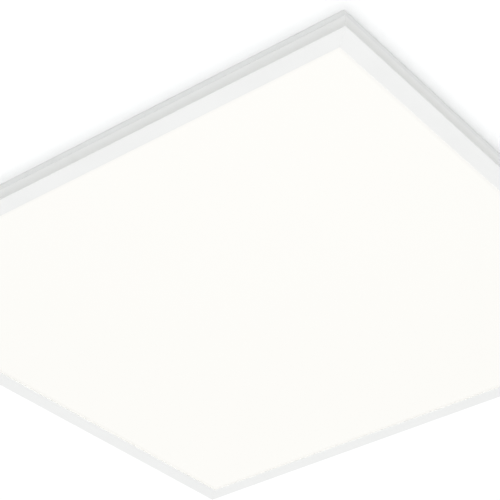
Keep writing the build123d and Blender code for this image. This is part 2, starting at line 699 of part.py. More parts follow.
with BuildPart() as cable_grommet:
    dish_floor = TRAY_UNDER - DISH_DEPTH
    with BuildSketch(Plane.XY.offset(dish_floor - GROMMET_LIP_SHEET)):
        with Locations((0, ENTRY_Y)):
            Circle(GROMMET_LIP)
    extrude(amount=GROMMET_LIP_SHEET)
    with BuildSketch(Plane.XY.offset(dish_floor)):
        with Locations((0, ENTRY_Y)):
            Circle(GROMMET_NECK)
    extrude(amount=TRAY_SHEET)
    with BuildSketch(Plane.XY.offset(dish_floor + TRAY_SHEET)):
        with Locations((0, ENTRY_Y)):
            Circle(GROMMET_LIP)
    extrude(amount=GROMMET_LIP_SHEET)
    grommet_height = TRAY_SHEET + 2 * GROMMET_LIP_SHEET
    holes([(0, ENTRY_Y)], CABLE_RADIUS, dish_floor - GROMMET_LIP_SHEET, grommet_height)
save(cable_grommet, "cable_grommet")

with BuildPart() as tray_rivets:
    for rivets, rivet_seat in RIVET_SEATS:
        with BuildSketch(Plane.XY.offset(rivet_seat)):
            with Locations(*rivets):
                Circle(RIVET_RADIUS)
        extrude(amount=TOTAL_HEIGHT - rivet_seat)
        with BuildSketch(Plane.XY.offset(rivet_seat)):
            with Locations(*rivets):
                Circle(RIVET_HEAD)
        extrude(amount=-RIVET_HEAD_HEIGHT, taper=RIVET_TAPER)
save(tray_rivets, "tray_rivets")

# ---- mains terminal block ----
TERMINAL_DEPTH = 22.0
TERMINAL_LENGTH = 33.0
TERMINAL_FLOOR = 12.9
WIRE_LEVEL = 15.0
BUTTON_SHAFT = (5.4, 4.2)
BUTTON_PROUD = 0.9
BUTTON_PLAY = 0.1
BUTTON_FLANGE = (0.8, 0.5)
BUTTON_SLOT = (3.0, 0.8)
BUTTON_CHAMFER = 0.4
TERMINAL_FOOT_LENGTH = 48.0
TERMINAL_FOOT_WIDTH = 8.0
TERMINAL_CHAMFER = 0.5
CELL_WIDTH = 7.4
CELL_LENGTH = TERMINAL_DEPTH - 4
WIRE_ENTRY = 1.5
CONTACT = (5.0, 17.0)
CONTACT_SHEET = 0.5
BLADE_WIDTH = 3.6
BLADE_SHEET = 0.3
BLADE_TIP = (3.4, 13.8)
BLADE_ROOT = (8.4, 13.3)
with BuildPart() as terminal_body:
    with BuildSketch(Plane.XY.offset(TERMINAL_UNDER)):
        with Locations((0, TERMINAL_Y)):
            RectangleRounded(TERMINAL_LENGTH, TERMINAL_DEPTH, 1)
    extrude(amount=TRAY_UNDER - TERMINAL_UNDER)
    chamfer(terminal_body.faces().sort_by(Axis.Z)[0].edges(), TERMINAL_CHAMFER)
    with BuildSketch(Plane.XY.offset(TRAY_UNDER - TERMINAL_FOOT)):
        with Locations((0, TERMINAL_Y)):
            SlotOverall(TERMINAL_FOOT_LENGTH, TERMINAL_FOOT_WIDTH)
    extrude(amount=TERMINAL_FOOT)
    with BuildSketch(Plane.XY.offset(TERMINAL_FLOOR)):
        with Locations((0, TERMINAL_Y)):
            with Locations(*[(x, 0) for x in POLES.values()]):
                Rectangle(CELL_WIDTH, CELL_LENGTH)
    extrude(amount=TRAY_UNDER - TERMINAL_FLOOR, mode=Mode.SUBTRACT)
    with BuildSketch(Plane.XY.offset(TERMINAL_UNDER)):
        with Locations(*[(x, TERMINAL_Y) for x in POLES.values()]):
            Rectangle(*BUTTON_SHAFT)
    extrude(amount=TERMINAL_FLOOR - TERMINAL_UNDER, mode=Mode.SUBTRACT)
    with BuildSketch(Plane.XZ.offset(-TERMINAL_Y + TERMINAL_DEPTH)):
        with Locations(*[(x, WIRE_LEVEL) for x in POLES.values()]):
            Circle(WIRE_ENTRY)
    extrude(amount=-2 * TERMINAL_DEPTH, mode=Mode.SUBTRACT)
    holes(TERMINAL_RIVETS, RIVET_HOLE, TRAY_UNDER - TERMINAL_FOOT, TERMINAL_FOOT)
save(terminal_body, "terminal_body")

with BuildPart() as terminal_contacts:
    with BuildSketch(Plane.XY.offset(TRAY_UNDER - 0.1)):
        with Locations(*[(x, TERMINAL_Y) for x in POLES.values()]):
            Rectangle(*CONTACT)
    extrude(amount=-CONTACT_SHEET)
save(terminal_contacts, "terminal_contacts")

# each pole's two clamp blades, which the button spreads
with BuildPart() as terminal_springs:
    for x in POLES.values():
        with BuildSketch(Plane.YZ.offset(x - BLADE_WIDTH / 2)):
            for side in (-1, 1):
                tip_y = TERMINAL_Y + side * BLADE_TIP[0]
                root_y = TERMINAL_Y + side * BLADE_ROOT[0]
                with BuildLine():
                    Polyline(
                        (tip_y, BLADE_TIP[1]),
                        (tip_y, BLADE_TIP[1] - BLADE_SHEET),
                        (root_y, BLADE_ROOT[1] - BLADE_SHEET),
                        (root_y, BLADE_ROOT[1]),
                        close=True,
                    )
                make_face()
        extrude(amount=BLADE_WIDTH)
save(terminal_springs, "terminal_springs")


def release_button(x):
    """Square push button, kept in its shaft by a flange on top."""
    width, depth = BUTTON_SHAFT
    flange_step, flange_sheet = BUTTON_FLANGE
    with BuildPart() as button:
        with BuildSketch(Plane.XY.offset(TERMINAL_UNDER - BUTTON_PROUD)):
            with Locations((x, TERMINAL_Y)):
                Rectangle(width - 2 * BUTTON_PLAY, depth - 2 * BUTTON_PLAY)
        extrude(amount=TERMINAL_FLOOR - TERMINAL_UNDER + BUTTON_PROUD)
        chamfer(button.faces().sort_by(Axis.Z)[0].edges(), BUTTON_CHAMFER)
        with BuildSketch(Plane.XY.offset(TERMINAL_FLOOR)):
            with Locations((x, TERMINAL_Y)):
                Rectangle(width + flange_step, depth + flange_step)
        extrude(amount=flange_sheet)
        with BuildSketch(Plane.XY.offset(TERMINAL_UNDER - BUTTON_PROUD)):
            with Locations((x, TERMINAL_Y)):
                SlotOverall(*BUTTON_SLOT)
        extrude(amount=BUTTON_CHAMFER, mode=Mode.SUBTRACT)
    return button


for pole_name, pole_x in POLES.items():
    save(release_button(pole_x), f"release_button_{pole_name}")

# ---- earth stud, nut and ring lug ----
STUD_RADIUS = 2.0
STUD_LENGTH = 6.5
LUG_SHEET = 0.8
LUG_RADIUS = 4.2
LUG_NECK = (3.2, 6.0)
LUG_NECK_STEP = 4.5
LUG_BARREL = (7.0, 5.0)
LUG_BARREL_RADIUS = 1.7
NUT_FLAT = 3.5
NUT_HEIGHT = 3.2
with BuildPart() as earth_stud:
    with BuildSketch(Plane.XY.offset(TRAY_UNDER)):
        with Locations((STUD_X, TERMINAL_Y)):
            Circle(STUD_RADIUS)
    extrude(amount=-STUD_LENGTH)
    chamfer(earth_stud.faces().sort_by(Axis.Z)[0].edges(), 0.4)
save(earth_stud, "earth_stud")

with BuildPart() as earth_lug:
    with BuildSketch(Plane.XY.offset(TRAY_UNDER - LUG_SHEET)):
        with Locations((STUD_X, TERMINAL_Y)):
            Circle(LUG_RADIUS)
        with Locations((STUD_X, TERMINAL_Y + LUG_NECK_STEP)):
            Rectangle(*LUG_NECK)
        with Locations((STUD_X, TERMINAL_Y)):
            Circle(STUD_RADIUS + 0.1, mode=Mode.SUBTRACT)
    extrude(amount=LUG_SHEET)
    with BuildSketch(Plane.XZ.offset(-TERMINAL_Y - LUG_BARREL[0])):
        with Locations((STUD_X, WIRE_LEVEL)):
            Circle(LUG_BARREL_RADIUS)
            Circle(WIRE_RADIUS + 0.02, mode=Mode.SUBTRACT)
    extrude(amount=-LUG_BARREL[1])
save(earth_lug, "earth_lug")

with BuildPart() as earth_nut:
    with BuildSketch(Plane.XY.offset(TRAY_UNDER - LUG_SHEET)):
        with Locations((STUD_X, TERMINAL_Y)):
            RegularPolygon(NUT_FLAT, 6, major_radius=False)
            Circle(STUD_RADIUS + 0.05, mode=Mode.SUBTRACT)
    extrude(amount=-NUT_HEIGHT)
save(earth_nut, "earth_nut")

# ---- mains wires inside the tray ----
BLOCK_FACE = TERMINAL_Y + TERMINAL_DEPTH / 2
INPUT_Y = DRIVER_Y - DRIVER_LENGTH / 2
INPUT_LEVEL = 12.0
SOCKET_X = {"live": -4.0, "neutral": 4.0}
SUPPLY_BEND = 5.0
EARTH_BEND = 4.0


def supply_wire(pole):
    """From the terminal block down to the driver's input socket."""
    path = [
        (POLES[pole], BLOCK_FACE - 3, WIRE_LEVEL),
        (POLES[pole], BLOCK_FACE + 12, WIRE_LEVEL),
        (SOCKET_X[pole], BLOCK_FACE + 28, INPUT_LEVEL),
        (SOCKET_X[pole], INPUT_Y + 3.5, INPUT_LEVEL),
    ]
    return wire(path, WIRE_RADIUS, SUPPLY_BEND)


save(supply_wire("live"), "wire_live")
save(supply_wire("neutral"), "wire_neutral")
earth_path = [
    (POLES["earth"], BLOCK_FACE - 3, WIRE_LEVEL),
    (POLES["earth"], BLOCK_FACE + 9, WIRE_LEVEL),
    (STUD_X, BLOCK_FACE + 9, WIRE_LEVEL),
    (STUD_X, TERMINAL_Y + LUG_BARREL[0] + 1, WIRE_LEVEL),
]
save(wire(earth_path, WIRE_RADIUS, EARTH_BEND), "wire_earth")

# ---- driver ----
BASE_UNDER = TRAY_UNDER - DRIVER_BASE
COVER_WALL = 1.0
COVER_SHEET = 0.9
BASE_EAR = 14.0
POST_RADIUS = 2.0
INPUT_WINDOW = (17.0, 5.0)
LEAD_WINDOW = 1.6
VENT = (26.0, 2.0)
VENT_PITCH = 5.0
VENT_COUNT = 7
VENT_Y = DRIVER_Y + 45
OUTPUT_Y = DRIVER_Y + DRIVER_LENGTH / 2
with BuildPart() as driver_base:
    with BuildSketch(Plane.XY.offset(BASE_UNDER)):
        with Locations(DRIVER_MIDDLE):
            RectangleRounded(DRIVER_WIDTH, DRIVER_LENGTH + 2 * BASE_EAR, 3)
    extrude(amount=DRIVER_BASE)
    with BuildSketch(Plane.XY.offset(BASE_UNDER)):
        with Locations(DRIVER_MIDDLE):
            with GridLocations(DRIVER_WIDTH - 12, DRIVER_LENGTH - 16, 2, 2):
                Circle(POST_RADIUS)
    extrude(amount=BOARD_TOP - BASE_UNDER)
    holes(DRIVER_RIVETS, RIVET_HOLE, BASE_UNDER, DRIVER_BASE)
save(driver_base, "driver_base")

with BuildPart() as driver_cover:
    with BuildSketch(Plane.XY.offset(DRIVER_UNDER)):
        with Locations(DRIVER_MIDDLE):
            RectangleRounded(DRIVER_WIDTH, DRIVER_LENGTH, 2.5)
    extrude(amount=BASE_UNDER - DRIVER_UNDER)
    fillet(driver_cover.faces().sort_by(Axis.Z)[0].edges(), 0.8)
    with BuildSketch(Plane.XY.offset(DRIVER_UNDER + COVER_SHEET)):
        with Locations(DRIVER_MIDDLE):
            RectangleRounded(DRIVER_WIDTH - 2 * COVER_WALL, DRIVER_LENGTH - 2 * COVER_WALL, 1.5)
    extrude(amount=BASE_UNDER, mode=Mode.SUBTRACT)
    with BuildSketch(Plane.XZ.offset(-INPUT_Y)):
        with Locations((0, INPUT_LEVEL)):
            RectangleRounded(*INPUT_WINDOW, 1)
    extrude(amount=-2 * COVER_WALL, mode=Mode.SUBTRACT)
    with BuildSketch(Plane.XZ.offset(-OUTPUT_Y)):
        with Locations((0, INPUT_LEVEL)):
            Circle(LEAD_WINDOW)
    extrude(amount=2 * COVER_WALL, mode=Mode.SUBTRACT)
    with BuildSketch(Plane.XY.offset(DRIVER_UNDER)):
        with Locations((0, VENT_Y)):
            with GridLocations(0, VENT_PITCH, 1, VENT_COUNT):
                SlotOverall(*VENT)
    extrude(amount=2 * COVER_SHEET, mode=Mode.SUBTRACT)
save(driver_cover, "driver_cover")

with BuildPart() as driver_board:
    with BuildSketch(Plane.XY.offset(BOARD_UNDER)):
        with Locations(DRIVER_MIDDLE):
            RectangleRounded(DRIVER_WIDTH - 4, DRIVER_LENGTH - 6, 1)
    extrude(amount=BOARD_SHEET)
save(driver_board, "driver_board")


def on_board(x, y, width, length, height):
    """A rounded block hanging from the driver's circuit board, added to the part being built."""
    with BuildSketch(Plane.XY.offset(BOARD_UNDER)) as outline:
        with Locations((x, y)):
            RectangleRounded(width, length, 0.4)
    extrude(outline.sketch, amount=-height)


INPUT_CONNECTOR = (15.0, 11.0, 5.2)
SOCKET_BORE = 1.3
with BuildPart() as driver_input_connector:
    on_board(0, INPUT_Y + 9, *INPUT_CONNECTOR)
    with BuildSketch(Plane.XZ.offset(-INPUT_Y - 3)):
        with Locations(*[(x, INPUT_LEVEL) for x in SOCKET_X.values()]):
            Circle(SOCKET_BORE)
    extrude(amount=-9, mode=Mode.SUBTRACT)
save(driver_input_connector, "driver_input_connector")

# flat ferrite core in two E halves round a wound coil
TRANSFORMER_AT = (0.0, DRIVER_Y - 8)
CORE = (24.0, 20.0, 5.0)
CORE_CHEEK = 3.0
CORE_LEG = 6.0
CORE_CAP = 1.0
COIL = (17.0, 26.0, 3.4)
COIL_PLAY = 0.3
with BuildPart() as driver_transformer_core:
    on_board(*TRANSFORMER_AT, *CORE)
    with BuildSketch(Plane.XY.offset(BOARD_UNDER)):
        with Locations(TRANSFORMER_AT):
            Rectangle(CORE[0] - 2 * CORE_CHEEK, CORE[1])
            Rectangle(CORE_LEG, CORE[1], mode=Mode.SUBTRACT)
    extrude(amount=CORE_CAP - CORE[2], mode=Mode.SUBTRACT)
save(driver_transformer_core, "driver_transformer_core")

with BuildPart() as driver_transformer_coil:
    with BuildSketch(Plane.XY.offset(BOARD_UNDER - COIL_PLAY)):
        with Locations(TRANSFORMER_AT):
            RectangleRounded(COIL[0], COIL[1], 3)
            Rectangle(CORE_LEG + 2 * COIL_PLAY, CORE[1] + 2 * COIL_PLAY, mode=Mode.SUBTRACT)
    extrude(amount=-COIL[2])
save(driver_transformer_coil, "driver_transformer_coil")

# lying capacitors, each (x, y, length)
CAPACITOR_RADIUS = 2.5
CAPACITOR_EDGE = 0.4
CAPACITORS = [
    (-14.0, DRIVER_Y - 30, 13.0),
    (-7.5, DRIVER_Y - 30, 13.0),
    (12.0, DRIVER_Y + 32, 14.0),
    (5.5, DRIVER_Y + 32, 14.0),
]
with BuildPart() as driver_capacitors:
    for x, y, length in CAPACITORS:
        with BuildSketch(Plane.XZ.offset(-y - length / 2)):
            with Locations((x, BOARD_UNDER - CAPACITOR_RADIUS - 0.1)):
                Circle(CAPACITOR_RADIUS)
        extrude(amount=length)
    fillet(driver_capacitors.edges().filter_by(GeomType.CIRCLE), CAPACITOR_EDGE)
save(driver_capacitors, "driver_capacitors")

CHOKE_AT = (12.0, DRIVER_Y - 50)
CHOKE_OUTER = 6.0
CHOKE_INNER = 2.4
CHOKE_HEIGHT = 4.8
CHOKE_EDGE = 0.8
with BuildPart() as driver_choke:
    with BuildSketch(Plane.XY.offset(BOARD_UNDER)):
        with Locations(CHOKE_AT):
            Circle(CHOKE_OUTER)
            Circle(CHOKE_INNER, mode=Mode.SUBTRACT)
    extrude(amount=-CHOKE_HEIGHT)
    fillet(driver_choke.edges(), CHOKE_EDGE)
save(driver_choke, "driver_choke")

# rectifier, switch, output diode and two controllers, each (x, y, width, length, height)
SEMICONDUCTORS = [
    (-12.0, DRIVER_Y - 52, 7.0, 9.0, 2.4),
    (14.0, DRIVER_Y - 28, 7.0, 9.0, 1.8),
    (-14.0, DRIVER_Y + 16, 7.0, 9.0, 1.8),
    (-10.0, DRIVER_Y + 34, 5.0, 6.0, 1.6),
    (12.0, DRIVER_Y + 14, 4.0, 5.0, 1.6),
]
with BuildPart() as driver_semiconductors:
    for package in SEMICONDUCTORS:
        on_board(*package)
save(driver_semiconductors, "driver_semiconductors")

OUTPUT_CONNECTOR = (10.0, 10.0, 4.6)
OUTPUT_BORE = 1.2
with BuildPart() as driver_output_connector:
    on_board(0, OUTPUT_Y - 10, *OUTPUT_CONNECTOR)
    with BuildSketch(Plane.XZ.offset(-OUTPUT_Y + 5)):
        with Locations((0, INPUT_LEVEL)):
            Circle(OUTPUT_BORE)
    extrude(amount=5, mode=Mode.SUBTRACT)
save(driver_output_connector, "driver_output_connector")

# ---- low-voltage lead: driver, plug and socket, then beside the hinge line down to the panel ----
SOCKET_START = OUTPUT_Y + 20
SOCKET_LENGTH = 18.0
PLUG_BODY = (9.0, 4.8)
PLUG_NOSE = (6.8, 2.8)
NOSE_PLAY = 0.2
PLUG_CHAMFER = 0.9
NOSE_LENGTH = 10.0
DRIVER_LEAD_BEND = 5.0
PLUG_LENGTH = 15.0
driver_lead_path = [
    (0, OUTPUT_Y - 8, INPUT_LEVEL),
    (0, OUTPUT_Y + 4, INPUT_LEVEL),
    (0, OUTPUT_Y + 14, LEAD_LEVEL),
    (0, SOCKET_START, LEAD_LEVEL),
]
save(wire(driver_lead_path, LEAD_RADIUS, DRIVER_LEAD_BEND), "driver_output_lead")


def connector_plane(y):
    return Plane(origin=(0, y, LEAD_LEVEL), x_dir=(1, 0, 0), z_dir=(0, 1, 0))


with BuildPart() as dc_socket:
    with BuildSketch(connector_plane(SOCKET_START)):
        RectangleRounded(*PLUG_BODY, 1)
    extrude(amount=SOCKET_LENGTH)
    with BuildSketch(connector_plane(SOCKET_START + SOCKET_LENGTH)):
        RectangleRounded(PLUG_NOSE[0] + NOSE_PLAY, PLUG_NOSE[1] + NOSE_PLAY, 0.6)
    extrude(amount=-NOSE_LENGTH, mode=Mode.SUBTRACT)
save(dc_socket, "dc_socket")

PLUG_START = SOCKET_START + SOCKET_LENGTH + NOSE_PLAY
with BuildPart() as dc_plug:
    with BuildSketch(connector_plane(PLUG_START)):
        RectangleRounded(*PLUG_BODY, 1)
    extrude(amount=PLUG_LENGTH)
    chamfer(dc_plug.faces().sort_by(Axis.Y)[-1].edges(), PLUG_CHAMFER)
    with BuildSketch(connector_plane(PLUG_START)):
        RectangleRounded(*PLUG_NOSE, 0.5)
    extrude(amount=-NOSE_LENGTH + 1)
save(dc_plug, "dc_plug")

# the two halves of the lead meet halfway along their last run, which lies close to the hinge line
tray_lead_path = [
    (0, PLUG_START + PLUG_LENGTH, LEAD_LEVEL),
    (0, LEAD_ROW_Y, LEAD_LEVEL),
    (LEAD_TURN_X, LEAD_ROW_Y, LEAD_LEVEL),
    (LEAD_TURN_X, GROMMET_AT[1], LEAD_LEVEL),
    (LEAD_JOIN_X - LEAD_JOIN_GAP, GROMMET_AT[1], JOIN_LEVEL + LEAD_JOIN_DROP),
]
save(wire(tray_lead_path, LEAD_RADIUS, LEAD_BEND), "dc_lead_tray")

panel_lead_path = [
    (LEAD_JOIN_X + LEAD_JOIN_GAP, GROMMET_AT[1], JOIN_LEVEL - LEAD_JOIN_DROP),
    (LEAD_DROP_X, GROMMET_AT[1], PANEL_LEAD_LEVEL),
    (LEAD_END_X, GROMMET_AT[1], PANEL_LEAD_LEVEL),
]
save(wire(panel_lead_path, LEAD_RADIUS, LEAD_BEND / 2), "dc_lead_panel")

# saddle clips that hold the lead to the tray
CLIP_X = (60.0, 180.0)
CLIP = (8.0, 6.0)
CLIP_UNDER = LEAD_LEVEL - 2.2
with BuildPart() as lead_clips:
    with BuildSketch(Plane.XY.offset(CLIP_UNDER)):
        with Locations(*[(x, LEAD_ROW_Y) for x in CLIP_X]):
            RectangleRounded(*CLIP, 1)
    extrude(amount=TRAY_UNDER - CLIP_UNDER)
    with BuildSketch(Plane.YZ):
        with Locations((LEAD_ROW_Y, LEAD_LEVEL)):
            Circle(LEAD_RADIUS + 0.05)
    extrude(amount=HALF, mode=Mode.SUBTRACT)
save(lead_clips, "lead_clips")
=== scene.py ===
import json
import math

import bmesh
import bpy
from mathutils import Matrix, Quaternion, Vector

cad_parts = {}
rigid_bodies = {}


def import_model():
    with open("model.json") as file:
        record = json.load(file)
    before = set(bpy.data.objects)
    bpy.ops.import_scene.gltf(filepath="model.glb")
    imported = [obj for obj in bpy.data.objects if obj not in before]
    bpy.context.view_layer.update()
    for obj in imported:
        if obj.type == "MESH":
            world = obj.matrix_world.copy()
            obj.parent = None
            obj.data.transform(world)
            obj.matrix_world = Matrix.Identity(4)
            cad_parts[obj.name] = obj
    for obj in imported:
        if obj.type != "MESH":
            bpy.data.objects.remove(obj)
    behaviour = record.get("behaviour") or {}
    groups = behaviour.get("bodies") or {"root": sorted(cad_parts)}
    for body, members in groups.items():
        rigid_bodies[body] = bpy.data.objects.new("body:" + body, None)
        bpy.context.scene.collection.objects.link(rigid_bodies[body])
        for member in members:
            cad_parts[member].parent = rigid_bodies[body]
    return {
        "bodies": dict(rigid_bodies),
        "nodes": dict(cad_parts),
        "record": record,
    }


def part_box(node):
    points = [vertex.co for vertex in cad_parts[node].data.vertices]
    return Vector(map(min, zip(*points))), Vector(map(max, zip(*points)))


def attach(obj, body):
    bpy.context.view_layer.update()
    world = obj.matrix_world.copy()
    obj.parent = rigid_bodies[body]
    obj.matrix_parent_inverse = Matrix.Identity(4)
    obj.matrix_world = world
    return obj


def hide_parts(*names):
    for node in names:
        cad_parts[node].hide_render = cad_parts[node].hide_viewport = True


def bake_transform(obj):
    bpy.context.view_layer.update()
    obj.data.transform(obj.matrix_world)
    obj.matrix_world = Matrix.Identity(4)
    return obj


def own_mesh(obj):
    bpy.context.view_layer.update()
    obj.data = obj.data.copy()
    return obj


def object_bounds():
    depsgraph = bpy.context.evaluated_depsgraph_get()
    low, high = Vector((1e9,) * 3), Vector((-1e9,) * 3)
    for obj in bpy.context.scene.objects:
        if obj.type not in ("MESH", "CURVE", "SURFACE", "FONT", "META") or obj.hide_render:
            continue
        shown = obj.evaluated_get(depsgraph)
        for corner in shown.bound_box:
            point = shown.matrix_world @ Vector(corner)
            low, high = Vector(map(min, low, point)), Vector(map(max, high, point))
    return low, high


# Looks for a square ceiling LED panel: finishes, the flexible lead and springs, stage, light and camera.
# Metres, +Z up. The luminous face looks down from Z = 0 and the ceiling touches the top of the tray.

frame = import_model()
cad_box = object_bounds()
FACE = cad_box[0].z
CEILING = cad_box[1].z
HALF = cad_box[1].x
MM = 0.001

# ---- camera: below the panel, looking up across one corner ----
CAMERA_PLACE = Vector((0.8301, -1.1718, -0.8869))
CAMERA_AIM = Vector((0.053, -0.0954, 0.0))
CAMERA_ROLL = math.radians(-1.987)
SENSOR = 36.0
LENS = 125.07

# ---- stage and light ----
STAGE_SIZE = 40.0
STAGE_GAP = 0.05 * MM
STAGE_WHITE = (0.97, 0.97, 0.97, 1.0)
BACKDROP_WHITE = (0.97, 0.97, 0.97, 1.0)
SKY_POLE = 1.28
SKY_HORIZON = 0.6
SKY_TILT = (-0.06, 0.08, 0.0)
LIGHT_SIZE = 1.6
LIGHT_DISTANCE = 2.2
KEY_POWER = 9.1
FILL_POWER = 8.2
WARM = (1.0, 0.98, 0.95)
COOL = (0.95, 0.98, 1.0)

# ---- glow of the diffuser ----
GLOW_COLOUR = (1.0, 0.987, 0.936, 1.0)
GLOW_EDGE = (0.91, 0.895, 0.85, 1.0)
GLOW_SHOWN = 0.63
GLOW_FADE = 4.5 * MM
BEZEL = 18.4 * MM
GLOW_CAST = 1.8
GLOW_CAST_RIM = 1.35

# ---- finishes ----
FRAME_WHITE = (0.797, 0.797, 0.787, 1.0)
# Painted light and shade on the frame's sides: lighter at the top by the ceiling, darker at the foot.
FRAME_SIDE_PAINTED_LIGHT = (0.875, 0.88, 0.868, 1.0)
FRAME_SIDE_PAINTED_SHADE = (0.725, 0.73, 0.712, 1.0)
FRAME_SIDE_SHADING_HEIGHT = 10.5 * MM
TRAY_WHITE = (0.83, 0.84, 0.83, 1.0)
# Painted light on the tray rim, paler above this height.
TRAY_PAINTED_LIGHT_FROM = 13.0 * MM
LED_PITCH = 9.6 * MM

# ---- flexible pieces: the low-voltage lead and the catch springs ----
TUBE_SIDES = 16
LEAD_TURN_X = 230.0 * MM
LEAD_BEND = 6.0 * MM
LEAD_DROP_X = 268.0 * MM
LEAD_STEP = 1.5 * MM
SPRING_WIRE_RADIUS = 0.25 * MM
SPRING_TURNS = 10
CLOSED_TURNS = 2
SPRING_STEPS = 28


# ============================== material helpers ==============================
# Sockets of the colour Mix node, which can't be told apart by name
MIX_FACTOR, MIX_FIRST, MIX_SECOND, MIX_RESULT = 0, 6, 7, 2

CLOUD_DARK, CLOUD_LIGHT = 0.3, 0.7
FLAT_FACING, SHARP_FACING = 0.995, 0.86
# Breakup of the edge mask, used for wear and for the painted edge highlight on the frame.
WEAR_AND_HIGHLIGHT_FROM, WEAR_AND_HIGHLIGHT_TO = 0.46, 0.62


class Graph:
    """The node tree of one material. Values may be numbers, colours or the output of another node."""

    def __init__(self, name):
        self.material = bpy.data.materials.new(name)
        self.material.use_nodes = True
        self.nodes = self.material.node_tree.nodes
        self.links = self.material.node_tree.links
        self.nodes.clear()
        coordinates = self.add("ShaderNodeTexCoord")
        self.place = coordinates.outputs["Object"]
        self.facing = coordinates.outputs["Normal"]

    def add(self, kind, inputs=None, **settings):
        node = self.nodes.new(kind)
        for key, value in settings.items():
            setattr(node, key, value)
        for key, value in (inputs or {}).items():
            if isinstance(value, bpy.types.NodeSocket):
                self.links.new(value, node.inputs[key])
            else:
                node.inputs[key].default_value = value
        return node

    def math(self, operation, first, second=0.0, clamp=False):
        node = self.add("ShaderNodeMath", {0: first, 1: second}, operation=operation, use_clamp=clamp)
        return node.outputs[0]

    def axis(self, name, vector=None):
        node = self.add("ShaderNodeSeparateXYZ", {0: vector or self.place})
        return node.outputs[name]

    def stretched(self, stretch):
        """The object coordinates, scaled by a different amount along each axis."""
        node = self.add("ShaderNodeVectorMath", {0: self.place, 1: stretch}, operation="MULTIPLY")
        return node.outputs[0]

    def noise(self, size, detail=2.0, stretch=(1.0, 1.0, 1.0)):
        """Cloudy noise from 0 to 1 whose features are about `size` metres wide."""
        inputs = {"Vector": self.stretched(stretch), "Scale": 1.0 / size, "Detail": detail}
        return self.add("ShaderNodeTexNoise", inputs).outputs[0]

    def cells(self, size, stretch=(1.0, 1.0, 1.0)):
        """Distance from the middle of the nearest of many cells about `size` metres wide."""
        inputs = {"Vector": self.stretched(stretch), "Scale": 1.0 / size}
        return self.add("ShaderNodeTexVoronoi", inputs).outputs["Distance"]

    def waves(self, first, second, pitch):
        """Rows of bumps and hollows along two axes, from -1 to 1, that repeat every `pitch` metres."""
        turns = 2.0 * math.pi / pitch
        across = self.math("SINE", self.math("MULTIPLY", self.axis(first), turns))
        along = self.math("SINE", self.math("MULTIPLY", self.axis(second), turns))
        return self.math("MULTIPLY", across, along)

    def step(self, value, low, high):
        """0 below `low`, 1 above `high` and a straight ramp between them."""
        inputs = {"Value": value, "From Min": low, "From Max": high}
        return self.add("ShaderNodeMapRange", inputs, clamp=True).outputs[0]

    def mix(self, factor, first, second):
        inputs = {MIX_FACTOR: factor, MIX_FIRST: first, MIX_SECOND: second}
        return self.add("ShaderNodeMix", inputs, data_type="RGBA").outputs[MIX_RESULT]

    def vary(self, colour, amount, size, stretch=(1.0, 1.0, 1.0)):
        """A colour that wanders a little lighter and darker over the surface."""
        cloud = self.step(self.noise(size, 3.0, stretch), CLOUD_DARK, CLOUD_LIGHT)
        return self.mix(cloud, shade(colour, 1.0 - amount), shade(colour, 1.0 + amount))

    def about(self, value, amount, size, stretch=(1.0, 1.0, 1.0)):
        """A number that wanders by `amount` either side of `value`."""
        swing = self.math("MULTIPLY_ADD", self.noise(size, 3.0, stretch), 2.0 * amount)
        swing.node.inputs[2].default_value = value - amount
        return swing

    def rounded(self, radius):
        """The normal of the surface as if its sharp edges had this radius."""
        return self.add("ShaderNodeBevel", {"Radius": radius}, samples=4).outputs[0]

    def relief(self, layers, rounding):
        """Bump from (height, depth in metres) layers, laid over softly rounded edges."""
        normal = self.rounded(rounding)
        for height, depth in layers:
            inputs = {"Height": height, "Distance": depth, "Strength": 1.0, "Normal": normal}
            normal = self.add("ShaderNodeBump", inputs).outputs[0]
        return normal

    def edges(self, radius, breakup):
        """1 on sharp edges and 0 on flats, broken up by noise of the size `breakup`."""
        geometry = self.add("ShaderNodeNewGeometry")
        inputs = {0: self.rounded(radius), 1: geometry.outputs["Normal"]}
        facing = self.add("ShaderNodeVectorMath", inputs, operation="DOT_PRODUCT").outputs["Value"]
        sharp = self.step(facing, FLAT_FACING, SHARP_FACING)
        wear_and_highlight = self.step(self.noise(breakup, 4.0), WEAR_AND_HIGHLIGHT_FROM, WEAR_AND_HIGHLIGHT_TO)
        return self.math("MULTIPLY", sharp, wear_and_highlight, clamp=True)

    def finish(self, colour, roughness, normal, **more):
        """The material's shader. More inputs are named with underscores for spaces."""
        inputs = {"Base Color": colour, "Roughness": roughness, "Normal": normal}
        for key, value in more.items():
            inputs[key.replace("_", " ")] = value
        shader = self.add("ShaderNodeBsdfPrincipled", inputs)
        self.add("ShaderNodeOutputMaterial", {"Surface": shader.outputs[0]})


def shade(colour, factor):
    """A colour made lighter or darker."""
    return tuple(min(channel * factor, 1.0) for channel in colour[:3]) + (1.0,)


def grey(value, warmth=0.0):
    """A neutral colour, or a slightly yellow one where `warmth` is above 0."""
    return (value * (1.0 + warmth), value, value * (1.0 - warmth), 1.0)


